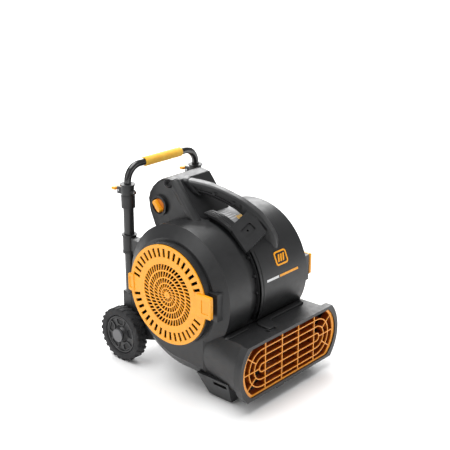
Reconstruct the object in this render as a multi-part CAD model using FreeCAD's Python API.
"""Wheeled centrifugal air blower with a telescoping trolley handle, in millimetres.

Frame: +Z up, the outlet faces -Y, the fan shaft runs along X and the trolley stands at +Y.
The origin is on the floor at the centre of the blower's footprint.
"""
import FreeCAD, Part
import math
import os

V = FreeCAD.Vector

# Overall layout: depths are counted back from the outlet plane
wheel_r = 72.5
trolley_depth = 436.5
drum_depth = 238.0
outlet_y = -(trolley_depth + wheel_r) / 2
drum_y = outlet_y + drum_depth
trolley_y = outlet_y + trolley_depth

# Housing
wall = 3.0
drum_z = 250.0
drum_r = 167.0
drum_half = 168.0
rim_half = 148.0
rim_slope = 29.0
scroll_r = 192.0
scroll_start = 20.0
nozzle_low = 38.0
nozzle_top = 172.0
nozzle_back = 150.0
nozzle_half = 153.0
nozzle_bulge = 185.0
nozzle_back_half = 150.0
nozzle_back_bulge = 166.0
lip_half = 165.0
lip_bulge = 193.4
lip_depth = 20.0
lip_rise = 5.0
seam_x = -38.0
groove = (-70.0, -42.0)
groove_depth = 9.0

# Intake on each side
collar_r = 130.0
collar_bore = 118.0
collar_x = 185.6
intake_r = 108.0
grille_r = 128.0
grille_x = 190.0
keeper_x = (-176.0, -140.0)
keepers = (((86.0, 130.0), (220.0, 289.0)), ((346.0, 376.0), (222.0, 278.0)))

# Control tower: a leaning box on top of the drum
tower = (-90.0, 46.0)
tower_front = (243.0, 417.0)
tower_top = (309.0, 499.0)
rib_r = 12.0
knob_at = (355.0, 429.0)
knob_r = 20.0
rib_hole = (318.0, 489.0)
gland_r = 8.0
gland_x = 10.0
gland_z = 414.0
gland_depth = (386.0, 412.0)
capacitor_z = (360.0, 426.0)

# Carry handle: straight in its own frame, then turned about its rear end
handle_turn = 27.5
handle_rear = (-40.0, 306.0)
handle_w = 34.0
cover_length = 130.0
cover_tail = 12.0
cover_screws = ((16.0, 480.0), (70.0, 468.0), (120.0, 447.0))

# Trolley
tube_x = 124.0
tube_r = 13.5
tube_wall = 1.5
stem_r = 9.5
stem_low = 136.0
bush_length = 30.0
bend_r = 42.0
grip_z = 521.0
grip_half = 66.0
grip_r = 12.5
collar_z = (414.0, 474.0)
slide_gap = 0.08
lever_pin = (23.0, 457.0)
axle_z = wheel_r
axle_r = 6.0
wheel_face = 171.0
wheel_w = 32.0

# Fan and motor
fan_r = 104.0
fan_half = 112.0
shaft_r = 6.35
motor_r = 60.0
motor = (2.0, 88.0)


def at(depth):
    """Y of a point that lies this far behind the outlet plane."""
    return outlet_y + depth


def box(x, y, z):
    return Part.makeBox(x[1] - x[0], y[1] - y[0], z[1] - z[0], V(x[0], y[0], z[0]))


def rod(axis, r, span, y=0.0, z=0.0, x=0.0):
    """A cylinder along X, Y or Z between the two coordinates in span."""
    start = {"x": V(span[0], y, z), "y": V(x, span[0], z), "z": V(x, y, span[0])}[axis]
    way = {"x": V(1, 0, 0), "y": V(0, 1, 0), "z": V(0, 0, 1)}[axis]
    return Part.makeCylinder(r, span[1] - span[0], start, way)


def ring(axis, r_out, r_in, span, **place):
    return rod(axis, r_out, span, **place).cut(rod(axis, r_in, span, **place))


def fused(shapes):
    shapes = list(shapes)
    return shapes[0].multiFuse(shapes[1:]) if len(shapes) > 1 else shapes[0]


def mirrored(shape):
    return shape.mirror(V(0, 0, 0), V(1, 0, 0))


def both_sides(shape):
    return Part.makeCompound([shape, mirrored(shape)])


def polygon_prism(points, x):
    """Extrude a polygon of (depth, z) points along X."""
    loop = [V(x[0], at(d), z) for d, z in points]
    return Part.Face(Part.makePolygon(loop + loop[:1])).extrude(V(x[1] - x[0], 0, 0))


def on_drum(angle, r, x=0.0):
    a = math.radians(angle)
    return V(x, drum_y + r * math.cos(a), drum_z + r * math.sin(a))


def drum_sector(x, r, angles):
    """A band around the drum's axis between two radii and two angles."""
    profile = Part.makePolygon([V(x[0], drum_y + r[0], drum_z), V(x[1], drum_y + r[0], drum_z),
                                V(x[1], drum_y + r[1], drum_z), V(x[0], drum_y + r[1], drum_z),
                                V(x[0], drum_y + r[0], drum_z)])
    centre = V(0, drum_y, drum_z)
    band = Part.Face(profile).revolve(centre, V(1, 0, 0), angles[1] - angles[0])
    band.rotate(centre, V(1, 0, 0), angles[0])
    return band


def save(name, shape):
    solids = [s for s in shape.removeSplitter().Solids if s.Volume > 1.0]
    out = solids[0] if len(solids) == 1 else Part.makeCompound(solids)
    out.exportStep(f"parts/{name}.step")
    print(name, len(solids), round(sum(s.Volume for s in solids) / 1000, 1), all(s.isValid() for s in solids))


def scroll_outline(inset, x):
    """The scroll's side view: a round front, top and rear that grow outwards below."""
    r1, r2 = drum_r - inset, scroll_r - inset
    grow = scroll_r - drum_r
    a0 = math.radians(scroll_start)
    centre = V(0, drum_y - grow * math.cos(a0), drum_z - grow * math.sin(a0))

    def low(angle):
        a = math.radians(angle)
        return centre + V(0, r2 * math.cos(a), r2 * math.sin(a))

    start, end = on_drum(225, r1), low(-93)
    floor_end = V(0, start.y, end.z - (end.y - start.y) * math.tan(math.radians(3)))
    edges = [Part.Arc(start, on_drum(120, r1), on_drum(scroll_start, r1)).toShape(),
             Part.Arc(on_drum(scroll_start, r1), low(-40), end).toShape(),
             Part.makeLine(end, floor_end), Part.makeLine(floor_end, start)]
    wire = Part.Wire(edges)
    wire.translate(V(x, 0, 0))
    return wire


def scroll(inset):
    """The drum between its rim creases, with a sloping rim down to each side face."""
    rim, face = rim_half - inset / 3, drum_half - inset
    middle = Part.Face(scroll_outline(inset, -rim)).extrude(V(2 * rim, 0, 0))
    slope = Part.makeLoft([scroll_outline(inset, -rim), scroll_outline(inset + rim_slope, -face)], True, True)
    return fused([middle, slope, mirrored(slope)])


def nozzle_section(depth, half, bulge, low, top):
    """Flat top and bottom with sides that bulge outwards."""
    y, mid = at(depth), low + 0.56 * (top - low)
    right = Part.Arc(V(half, y, low), V(bulge, y, mid), V(half, y, top)).toShape()
    left = Part.Arc(V(-half, y, top), V(-bulge, y, mid), V(-half, y, low)).toShape()
    return Part.Wire([Part.makeLine(V(-half, y, low), V(half, y, low)), right,
                      Part.makeLine(V(half, y, top), V(-half, y, top)), left])


def nozzle(inset, front):
    near = nozzle_section(front, nozzle_half - inset, nozzle_bulge - inset,
                          nozzle_low + inset, nozzle_top - inset)
    far = nozzle_section(nozzle_back, nozzle_back_half - inset, nozzle_back_bulge - inset,
                         nozzle_low + 8 + inset, nozzle_top - inset)
    return Part.makeLoft([near, far], True, True)


def lip():
    """The proud flange around the outlet."""
    wires = [nozzle_section(d, lip_half, lip_bulge, nozzle_low - lip_rise, nozzle_top + lip_rise)
             for d in (0.0, lip_depth)]
    return Part.makeLoft(wires, True, True)


def tower_prism(inset):
    """Side profile of the control tower, closed inside the drum."""
    front, top = tower_front, tower_top
    back = [(334, 503), (352, 498), (369, 487), (385, 472), (396, 455), (401, 438), (399, 424), (376, 372)]
    points = [(front[0] - 16, front[1] - 20), front, top] + back + [(340.0, 330.0)]
    x = (tower[0] + inset, tower[1] - inset)
    solid = polygon_prism(points, x)
    if not inset:
        top_edges = [e for e in solid.Edges if e.CenterOfMass.z > 425 and e.CenterOfMass.y > at(262)]
        solid = solid.makeFillet(7.0, top_edges)
    if inset:
        centre = V((x[0] + x[1]) / 2, at(325), 440)
        shrink = FreeCAD.Matrix()
        shrink.move(-centre)
        shrink.scale(V(1, 1 - 2 * inset / 150, 1 - 2 * inset / 130))
        shrink.move(centre)
        solid = solid.transformGeometry(shrink)
    return solid


def tower_rib():
    """The round pillar on the tower's front left corner."""
    x = tower[0] + 5
    low = V(x, at(tower_front[0] - 6), tower_front[1] - 8)
    high = V(x, at(tower_top[0] + 3), tower_top[1] + 1)
    return Part.makeCylinder(rib_r, (high - low).Length, low, high - low)


def foot():
    """A tapered leg under the nozzle, on the left."""
    low = Part.makePolygon([V(x, at(d), 4) for x, d in
                            ((-148, 66), (-112, 66), (-112, 138), (-148, 138), (-148, 66))])
    high = Part.makePolygon([V(x, at(d), 64) for x, d in
                             ((-172, 56), (-104, 56), (-104, 158), (-172, 158), (-172, 56))])
    slot_cut = box((-180, -156), (at(66), at(108)), (45, 55))
    return Part.makeLoft([low, high], True, True).cut(slot_cut)


def shells():
    drum, hollow = scroll(0), scroll(wall)
    drum = drum.cut(drum_sector(groove, (drum_r - groove_depth, drum_r + 5), (78, 206)))
    band = (groove[0] - wall, groove[1] + wall)
    hollow = hollow.cut(drum_sector(band, (drum_r - groove_depth - wall, drum_r + 5), (74, 214)))
    side = both_sides(rod("x", collar_r, (drum_half - 20, collar_x), y=drum_y, z=drum_z))
    latches = [both_sides(box(keeper_x, (at(d[0]), at(d[1])), z)) for d, z in keepers]
    rib = tower_rib()
    outer = fused([drum, nozzle(0, 10), lip(), *side.Solids, *latches[0].Solids, *latches[1].Solids,
                   foot(), mirrored(foot()), tower_prism(0), rib])
    chamber = tower_prism(wall).cut(scroll(0))
    bores = both_sides(fused([
        rod("x", collar_bore, (drum_half, collar_x + 5), y=drum_y, z=drum_z),
        rod("x", intake_r, (drum_half - 30, collar_x + 5), y=drum_y, z=drum_z)]))
    empty = fused([hollow, nozzle(wall, -1), chamber, *bores.Solids])
    shell = outer.cut(empty)
    shell = shell.cut(rod("x", 8.0, (tower[0] - 5, tower[0] + 8), y=at(knob_at[0]), z=knob_at[1]))
    shell = shell.cut(rod("x", 5.0, (tower[0] - 20, tower[0] + 1), y=at(rib_hole[0]), z=rib_hole[1]))
    gland_hole = (at(gland_depth[0] - 6), at(gland_depth[1] + 8))
    shell = shell.cut(rod("y", gland_r, gland_hole, x=gland_x, z=gland_z))
    lip_blocks = [box((-58, -12), (at(4), at(36)), (nozzle_top - 6, nozzle_top + lip_rise)),
                  box((-50, -22), (at(4), at(30)), (nozzle_low - 12, nozzle_low + 4))]
    slot_cut = box((-54, -34), (at(20), at(40)), (nozzle_top + 1, nozzle_top + 10))
    shell = shell.fuse([b.cut(nozzle(wall, -1)) for b in lip_blocks]).cut(slot_cut)
    left = shell.common(box((-250, seam_x), (-300, 300), (-10, 600)))
    right = shell.common(box((seam_x, 250), (-300, 300), (-10, 600)))
    flange = drum_sector((seam_x, seam_x + 8), (drum_r - 1, drum_r + 3), (118, 204))
    spine = drum_sector((-58, -28), (drum_r + 4, drum_r + 11), (90.5, 121))
    web = drum_sector((seam_x, -28), (drum_r - 1, drum_r + 6), (90.5, 121))
    right = fused([right, flange, spine, web, gusset()])
    return left, right


def gusset():
    """The wedge from the seam up to the carry handle's front leg."""
    near = [on_drum(a, r, -56) for a, r in ((118, drum_r + 3), (118, drum_r + 12),
                                            (142, drum_r + 8), (142, drum_r + 3))]
    far = [on_drum(a, r, 26) for a, r in ((114, drum_r - 6), (113, drum_r + 34),
                                          (134, drum_r + 22), (136, drum_r - 6))]
    wires = [Part.makePolygon(w + w[:1]) for w in (near, far)]
    solid = Part.makeLoft(wires, True, True)
    across = (far[1] - near[1]).normalize()
    out = (near[2] - near[1]).cross(across).normalize()
    down = across.cross(out)
    centre = (near[1] + near[2] + far[1] + far[2]) * 0.25 - out * 3.5

    def pocket(half_long, half_wide, deep):
        corners = [centre + across * (half_long * i) + down * (half_wide * j)
                   for i, j in ((-1, -1), (1, -1), (1, 1), (-1, 1))]
        block = Part.Face(Part.makePolygon(corners + corners[:1])).extrude(out * deep)
        return block.makeFillet(5.0, [e for e in block.Edges if abs(e.Length - deep) < 0.01])

    hole = Part.makeCylinder(3.0, 20, centre - out * 8, out)
    solid = solid.cut(pocket(20, 12, 30)).cut(hole)
    return solid.cut(rod("x", drum_r, (seam_x - 30, 60), y=drum_y, z=drum_z))


def turned(shape):
    """Place a shape built along the handle's own frame."""
    shape.translate(V(handle_rear[0], at(handle_rear[1]), 0))
    shape.rotate(V(handle_rear[0], at(handle_rear[1]), 0), V(0, 0, 1), handle_turn)
    return shape


def handle_profile(inset, w):
    """Side profile of the arched handle; u runs forwards from its rear end."""
    def p(u, z):
        return V(w[0], -u, z)

    i = inset
    top, under = Part.BSplineCurve(), Part.BSplineCurve()
    top.interpolate([p(-20 + i, 497 - i), p(60, 487 - i), p(130, 459 - i),
                     p(172, 432 - i), p(200 - i, 404 - i)])
    under.interpolate([p(142 + i, 416 + i), p(74, 454 + i), p(-20 + i, 469 + i)])
    lines = [p(200 - i, 404 - i), p(230 - i, 352), p(200, 330), p(136 + i, 374), p(142 + i, 416 + i)]
    back = Part.makeLine(p(-20 + i, 469 + i), p(-20 + i, 497 - i))
    edges = [top.toShape()] + Part.makePolygon(lines).Edges + [under.toShape(), back]
    face = Part.Face(Part.Wire(edges))
    return face.extrude(V(w[1] - w[0], 0, 0))


def carry_handle(right_shell):
    half = handle_w / 2
    solid = handle_profile(0, (-half, half))
    long_edges = [e for e in solid.Edges if abs(abs(e.CenterOfMass.x) - half) < 0.01
                  and e.CenterOfMass.z > 350 and e.Length > 20]
    solid = solid.makeFillet(7.0, long_edges)
    recess = handle_profile(8, (-half - 1, -half + 4))
    recess = recess.common(box((-half - 1, half), (-cover_length, cover_tail), (380, 520)))
    screws = [rod("x", 2.0, (-half + 3, -half + 16), y=-u, z=z) for u, z in cover_screws]
    solid = turned(solid.cut(recess))
    drum = rod("x", drum_r, (-160, 160), y=drum_y, z=drum_z)
    solid = solid.cut(drum).cut(tower_prism(0)).cut(right_shell)
    solid = solid.cut(turned(fused(screws)))
    cover = handle_profile(8.3, (-half + 0.5, -half + 4))
    cover = cover.common(box((-half, half), (-cover_length + 0.5, cover_tail - 0.5), (380, 520)))
    holes = fused([rod("x", 2.0, (-half, -half + 5), y=-u, z=z) for u, z in cover_screws])
    cover = turned(cover.cut(holes))
    pins = Part.makeCompound([turned(fused([rod("x", 1.95, (-half + 0.5, -half + 14), y=-u, z=z),
                                            rod("x", 3.6, (-half - 1.0, -half + 0.5), y=-u, z=z)]))
                              for u, z in cover_screws])
    return solid, cover.cut(tower_prism(0)), pins


def slot(r0, r1, width, angle, swirl, x):
    """A slot outline in the grille's plane, leaning by the swirl angle."""
    a = math.radians(angle)
    s = math.radians(swirl)
    mid = V(x, drum_y + (r0 + r1) / 2 * math.cos(a), drum_z + (r0 + r1) / 2 * math.sin(a))
    run = V(0, math.cos(a + s), math.sin(a + s))
    side = V(0, -run.z, run.y)
    half = (r1 - r0) / 2
    corners = [mid + run * (half * i) + side * (width / 2 * j)
               for i, j in ((-1, -1), (1, -1), (1, 1), (-1, 1))]
    return Part.makePolygon(corners + corners[:1])


grille_rings = ((8.0, 18.0, 2.4, 14), (23.0, 38.0, 3.4, 26), (42.0, 58.5, 4.4, 38), (62.5, 78.0, 5.0, 52))


def intake_grille():
    """The left intake grille: a slotted plate with a skirt and two latch tabs."""
    x = -grille_x
    plate = rod("x", grille_r, (x, x + 4), y=drum_y, z=drum_z)
    holes = []
    for r0, r1, width, count in grille_rings:
        holes += [slot(r0, r1, width, 360.0 * k / count, 22, x) for k in range(count)]
    for k in range(40):
        angle = 360.0 * (k + 0.5) / 40
        if abs(angle - 180) > 22 and min(angle, 360 - angle) > 12:
            holes.append(slot(96, 118, 7.0, angle, 0, x))
    solid = plate.cut(Part.makeCompound([Part.Face(h).extrude(V(4.0, 0, 0)) for h in holes]))
    skirt = ring("x", collar_r - 12.4, collar_r - 14.0, (x + 3.5, x + 6.5), y=drum_y, z=drum_z)
    front_tab = box((-195, -186), (at(90), at(140)), (229, 286)).cut(
        box((-196, -193.5), (at(98), at(120)), (240, 274)))
    tabs = [front_tab, box((-192, -186), (at(352), at(373)), (227, 273))]
    return fused([solid, skirt] + tabs)


def stadium(half_w, half_h, y, z):
    """A stadium outline in the XZ plane."""
    straight = half_w - half_h
    edges = [Part.makeLine(V(-straight, y, z + half_h), V(straight, y, z + half_h)),
             Part.Arc(V(straight, y, z + half_h), V(half_w, y, z), V(straight, y, z - half_h)).toShape(),
             Part.makeLine(V(straight, y, z - half_h), V(-straight, y, z - half_h)),
             Part.Arc(V(-straight, y, z - half_h), V(-half_w, y, z), V(-straight, y, z + half_h)).toShape()]
    return Part.Wire(edges)


def between(outer, inner, deep):
    """The band between two outlines in an XZ plane, this deep along Y."""
    return Part.Face(outer).extrude(V(0, deep, 0)).cut(Part.Face(inner).extrude(V(0, deep, 0)))


def outlet_grille():
    """Nested stadium rings tied by ribs, filling the outlet."""
    z = (nozzle_low + nozzle_top) / 2
    front, deep, bar = 4.0, 20.0, 2.6
    y0 = at(front)
    slab = box((-300, 300), (y0, y0 + deep), (0, 300))
    hole_wire = nozzle_section(front, 144, 172.5, nozzle_low + 7.5, nozzle_top - 6)
    reach_wire = nozzle_section(front, 147, 176, nozzle_low + 6, nozzle_top - 4.5)
    hole, reach = [Part.Face(w).extrude(V(0, deep, 0)) for w in (hole_wire, reach_wire)]
    pieces = [nozzle(wall + 0.05, -1).common(slab).cut(hole)]
    straight = 107.0
    for end_r in (50.0, 31.0, 12.0):
        outer = stadium(straight + end_r, end_r, y0, z)
        inner = stadium(straight + end_r - bar, end_r - bar, y0, z)
        pieces.append(between(outer, inner, deep))
    ribs = [box((x - bar / 2, x + bar / 2), (y0, y0 + deep), (z - 80, z + 80)) for x in (-96, -32, 32, 96)]
    for side in (0, 180):
        for angle in (-38, 0, 38):
            rib = box((29 if angle else 10, 110), (y0, y0 + deep), (-bar / 2, bar / 2))
            rib.rotate(V(0, 0, 0), V(0, 1, 0), side + angle)
            rib.translate(V(straight if side == 0 else -straight, 0, z))
            ribs.append(rib)
    pieces += [r.common(reach) for r in ribs]
    return fused(pieces)


def impeller():
    """Double-inlet squirrel cage on a centre plate and hub."""
    hub_x = -20.0
    place = dict(y=drum_y, z=drum_z)
    parts = [ring("x", fan_r, 84.0, (hub_x - 1.5, hub_x + 1.5), **place),
             ring("x", 84.5, 20.0, (hub_x - 1.5, hub_x + 1.5), **place),
             ring("x", 20.5, shaft_r, (hub_x - 12, hub_x + 12), **place)]
    parts += [ring("x", fan_r, 88.0, span, **place) for span in
              ((-fan_half, -fan_half + 4), (fan_half - 4, fan_half))]
    blade = box((-fan_half, fan_half), (drum_y + 86, drum_y + 103), (drum_z - 1, drum_z + 1))
    blade.rotate(V(0, drum_y + 94, drum_z), V(1, 0, 0), 24)
    for k in range(36):
        copy = blade.copy()
        copy.rotate(V(0, drum_y, drum_z), V(1, 0, 0), 10.0 * k)
        parts.append(copy)
    return fused(parts)


def inlet_ring():
    """The bell mouth that leads air from the left intake into the impeller."""
    place = V(-drum_half + wall, drum_y, drum_z)
    length = drum_half - wall - fan_half - 4
    outer = Part.makeCone(intake_r + 4, 90, length, place, V(1, 0, 0))
    inner = Part.makeCone(intake_r + 1.5, 87.5, length, place, V(1, 0, 0))
    flange_x = (-drum_half + wall, -drum_half + wall + 2.5)
    flange = ring("x", intake_r + 8, intake_r + 1.5, flange_x, y=drum_y, z=drum_z)
    return outer.fuse(flange).cut(inner)


def motor_set():
    place = dict(y=drum_y, z=drum_z)
    can = rod("x", motor_r, motor, **place).cut(rod("x", motor_r - 3, (motor[0] + 3, motor[1] - 3), **place))
    can = can.fuse(both_ends_bearing_seats()).cut(rod("x", 14.0, (motor[0] - 9, motor[1] + 9), **place))
    stator = ring("x", motor_r - 3.0, 34.0, (motor[0] + 18, motor[1] - 18), **place)
    rotor = ring("x", 33.0, shaft_r, (motor[0] + 16, motor[1] - 16), **place)
    shaft = rod("x", shaft_r, (-40, motor[1] + 6), **place)
    bearings = Part.makeCompound([ring("x", 14.0, shaft_r + 0.05, s, **place)
                                  for s in ((motor[0] - 6, motor[0] + 4), (motor[1] - 4, motor[1] + 6))])
    return can, stator, rotor, shaft, bearings


def both_ends_bearing_seats():
    place = dict(y=drum_y, z=drum_z)
    return fused([rod("x", 19.0, (motor[0] - 6, motor[0] + 4), **place),
                  rod("x", 19.0, (motor[1] - 4, motor[1] + 6), **place)])


def motor_mount():
    """Three arms from the motor's end to the right intake wall, which they grip from outside."""
    place = dict(y=drum_y, z=drum_z)
    x_out = drum_half
    hub = ring("x", 46.0, 22.0, (motor[1], motor[1] + 4), **place)
    arms = []
    for angle in (90, 210, 330):
        arm = fused([box((motor[1], motor[1] + 4), (drum_y + 40, drum_y + 80), (drum_z - 9, drum_z + 9)),
                     box((motor[1], x_out + 3), (drum_y + 76, drum_y + 80), (drum_z - 9, drum_z + 9)),
                     box((x_out, x_out + 3), (drum_y + 76, drum_y + 114), (drum_z - 9, drum_z + 9))])
        arm.rotate(V(0, drum_y, drum_z), V(1, 0, 0), angle)
        arms.append(arm)
    return fused([hub] + arms)


def speed_control():
    y, z = at(knob_at[0]), knob_at[1]
    x = tower[0]
    bezel = ring("x", 26.0, 21.0, (x - 8, x), y=y, z=z).fuse(ring("x", 21.5, 6.2, (x - 2, x), y=y, z=z))
    grip = rod("x", knob_r, (x - 12, x - 2.5), y=y, z=z)
    bar = box((x - 22, x - 11), (y - 5, y + 5), (z - knob_r + 1, z + knob_r - 1))
    bar = bar.common(rod("x", knob_r, (x - 22, x - 2.5), y=y, z=z))
    bar.rotate(V(x, y, z), V(1, 0, 0), -42)
    knob = grip.fuse(bar).cut(rod("x", 3.0, (x - 14, x), y=y, z=z))
    spindle = rod("x", 3.0, (x - 14, x + 12), y=y, z=z)
    body = rod("x", 15.0, (x + wall, x + 26), y=y, z=z).fuse(rod("x", 7.8, (x, x + wall), y=y, z=z))
    body = body.cut(rod("x", 3.05, (x - 1, x + 13), y=y, z=z))
    return bezel, knob, spindle, body


def u_tube(r):
    """Solid of the U-shaped handle tube at radius r."""
    y, leg_top, reach = trolley_y, grip_z - bend_r, tube_x - bend_r
    turn = bend_r * math.sin(math.radians(45))
    ends = [V(-tube_x, y, stem_low), V(-tube_x, y, leg_top), V(-reach, y, grip_z)]
    middle = V(-reach - turn, y, leg_top + turn)
    far = [V(-p.x, p.y, p.z) for p in ends]
    path = Part.Wire([Part.makeLine(ends[0], ends[1]), Part.Arc(ends[1], middle, ends[2]).toShape(),
                      Part.makeLine(ends[2], far[2]),
                      Part.Arc(far[2], V(-middle.x, y, middle.z), far[1]).toShape(),
                      Part.makeLine(far[1], far[0])])
    section = Part.Wire([Part.makeCircle(r, ends[0], V(0, 0, 1))])
    return path.makePipeShell([section], True, False)


def clamp_collar():
    """Left clamp collar with its lever ears and bolt boss."""
    x, y = -tube_x, trolley_y
    low, high = collar_z
    place = dict(x=x, y=y)
    solid = fused([rod("z", 18.0, (low, low + 32), **place), rod("z", 16.5, (low + 31, high), **place),
                   rod("z", 20.0, (high - 1, high + 2), **place),
                   box((x - 11, x - 5), (y + 8, y + 29), (high - 26, high - 8)),
                   box((x + 5, x + 11), (y + 8, y + 29), (high - 26, high - 8)),
                   rod("y", 6.5, (y - 23, y - 8), x=x, z=high - 17)])
    solid = solid.cut(rod("z", tube_r, (low - 1, low + 28), **place))
    solid = solid.cut(rod("z", stem_r + slide_gap, (low, high + 5), **place))
    solid = solid.cut(rod("x", 2.5, (x - 12, x + 12), y=y + lever_pin[0], z=lever_pin[1]))
    return solid.cut(rod("y", 2.5, (y - 24, y - 12), x=x, z=high - 17))


def clamp_lever():
    x, y, z = -tube_x, trolley_y + lever_pin[0], lever_pin[1]
    root = rod("x", 5.5, (x - 4.6, x + 4.6), y=y, z=z)
    arm = box((x - 4.6, x + 4.6), (y, y + 20), (z - 3.5, z + 3.5))
    tip = box((x - 12, x + 12), (y + 13, y + 28), (z - 4, z + 4))
    tip = tip.makeFillet(3.0, tip.Edges)
    return fused([root, arm, tip]).cut(rod("x", 2.55, (x - 15, x + 15), y=y, z=z))


def mid_bracket():
    """Joins the left tube to the back of the drum."""
    x, y = -tube_x, trolley_y
    solid = fused([rod("z", 17.5, (297, 342), x=x, y=y), rod("z", 19.5, (338, 342), x=x, y=y),
                   rod("z", 18.5, (292, 297), x=x, y=y), box((x - 9, x + 9), (at(376), y), (301, 336)),
                   box((x - 20, x + 20), (at(372), at(404)), (299, 338))])
    return solid.cut(rod("z", tube_r, (290, 360), x=x, y=y)).cut(scroll(0))


def lower_bracket():
    """Carries the tube's foot and the axle, and bolts to the lower rear of the housing."""
    x, y = -tube_x, trolley_y
    outline = [(340, 76), (360, 128), (420, 184), (454, 184), (454, 60), (424, 52)]
    cheek = polygon_prism(outline, (x - 12, x + 12))
    solid = fused([cheek, rod("z", 17.5, (96, 180), x=x, y=y), rod("z", 19.0, (174, 180), x=x, y=y)])
    solid = solid.cut(box((-300, -137.5), (-300, 300), (0, 400))).cut(rod("z", tube_r, (92, 200), x=x, y=y))
    return solid.cut(rod("x", axle_r, (-200, 0), y=y, z=axle_z)).cut(scroll(0))


def wheel():
    """Left wheel: tyre, five-pocket hub and cap."""
    place = dict(y=trolley_y, z=axle_z)
    x0, x1 = -wheel_face, -wheel_face + wheel_w
    tyre = ring("x", wheel_r, 52.0, (x0, x1), **place)
    rim_edges = [e for e in tyre.Edges if abs(e.BoundBox.ZLength - 2 * wheel_r) < 0.1]
    tyre = tyre.makeFillet(6.0, rim_edges)
    tread = []
    crown = axle_z + wheel_r
    for k in range(24):
        lug = box((x0 - 1, x0 + 9), (trolley_y - 1.6, trolley_y + 1.6), (crown - 5, crown + 2))
        lug.rotate(V(0, trolley_y, axle_z), V(1, 0, 0), 15.0 * k)
        far = lug.translated(V(wheel_w - 8, 0, 0))
        far.rotate(V(0, trolley_y, axle_z), V(1, 0, 0), 7.5)
        tread += [lug, far]
    tyre = tyre.cut(Part.makeCompound(tread))
    hub = rod("x", 52.0, (x0 + 3, x1 - 2), **place).fuse(rod("x", 19.0, (x0 - 2, x1), **place))
    for k in range(5):
        pocket = rod("x", 11.5, (x0 + 1, x0 + 16), y=trolley_y, z=axle_z + 36)
        pocket.rotate(V(0, trolley_y, axle_z), V(1, 0, 0), 72.0 * k)
        hub = hub.cut(pocket)
    bore = rod("x", axle_r + 0.05, (x0 - 20, x1 + 10), **place)
    recess = rod("x", 15.0, (x0 - 10, x0 + 4), **place)
    cap = fused([rod("x", 15.0, (x0 - 2, x0 + 4), **place), rod("x", 17.5, (x0 - 8, x0 - 2), **place)])
    cap = cap.cut(rod("x", axle_r + 3, (x0 - 4, x0 + 5), **place))
    return tyre, hub.cut(recess).cut(bore), cap


def feet_pads():
    pad = box((-144, -115), (at(72), at(134)), (0, 4))
    return pad.makeFillet(3.0, [e for e in pad.Edges if abs(e.BoundBox.ZLength - 4) < 0.01])


def screw_group():
    """Screws that draw the two shells together along the seam groove."""
    spots = [on_drum(angle, drum_r - groove_depth + 3.6) for angle in (128, 146, 163, 178)]
    return Part.makeCompound([rod("x", 3.5, (groove[1] - 6, groove[1]), y=p.y, z=p.z) for p in spots])


def build():
    os.makedirs("parts", exist_ok=True)
    left, right = shells()
    save("left_shell", left)
    save("right_shell", right)
    handle, cover, cover_pins = carry_handle(right)
    save("carry_handle", handle)
    save("handle_cover", cover)
    save("handle_screws", cover_pins)
    save("shell_screws", screw_group())
    for name, piece in (("intake_grille", intake_grille()), ("inlet_ring", inlet_ring()),
                        ("foot_pad", feet_pads()), ("mid_bracket", mid_bracket()),
                        ("lower_bracket", lower_bracket()),
                        ("clamp_collar", clamp_collar()), ("clamp_lever", clamp_lever())):
        save(name + "_left", piece)
        save(name + "_right", mirrored(piece))
    save("outlet_grille", outlet_grille())
    save("impeller", impeller())
    motor_names = ("motor_can", "motor_stator", "motor_rotor", "motor_shaft", "motor_bearings")
    for name, piece in zip(motor_names, motor_set()):
        save(name, piece)
    save("motor_mount", motor_mount())
    for name, piece in zip(("knob_bezel", "speed_knob", "switch_spindle", "speed_switch"), speed_control()):
        save(name, piece)
    save("run_capacitor", rod("z", 15.0, capacitor_z, x=gland_x, y=at(340)).cut(scroll(0)))
    gland_y = (at(gland_depth[0]), at(gland_depth[1]))
    save("cord_gland", ring("y", gland_r, 4.5, gland_y, x=gland_x, z=gland_z))
    tube = ring("z", tube_r, tube_r - tube_wall, (92.5, collar_z[0] + 28), x=-tube_x, y=trolley_y)
    save("outer_tube_left", tube)
    save("outer_tube_right", mirrored(tube))
    save("u_handle", u_tube(stem_r).cut(u_tube(stem_r - tube_wall)))
    save("foam_grip", ring("x", grip_r, stem_r, (-grip_half, grip_half), y=trolley_y, z=grip_z))
    bush_z = (stem_low, stem_low + bush_length)
    bush = ring("z", tube_r - tube_wall - slide_gap, stem_r, bush_z, x=-tube_x, y=trolley_y)
    plug = rod("z", stem_r, (stem_low - 4, stem_low), x=-tube_x, y=trolley_y)
    save("stem_bushes", both_sides(bush.fuse(plug)))
    pin = rod("x", 2.5, (-tube_x - 12.5, -tube_x + 12.5), y=trolley_y + lever_pin[0], z=lever_pin[1])
    save("lever_pins", both_sides(pin))
    bolt = fused([rod("y", 2.5, (trolley_y - 22, trolley_y - 12), x=-tube_x, z=collar_z[1] - 17),
                  rod("y", 4.5, (trolley_y - 27, trolley_y - 23), x=-tube_x, z=collar_z[1] - 17)])
    save("clamp_bolts", both_sides(bolt))
    save("axle", rod("x", axle_r, (-wheel_face + 5, wheel_face - 5), y=trolley_y, z=axle_z))
    for name, piece in zip(("tyre", "wheel_hub", "hub_cap"), wheel()):
        save(name + "_left", piece)
        save(name + "_right", mirrored(piece))


build()
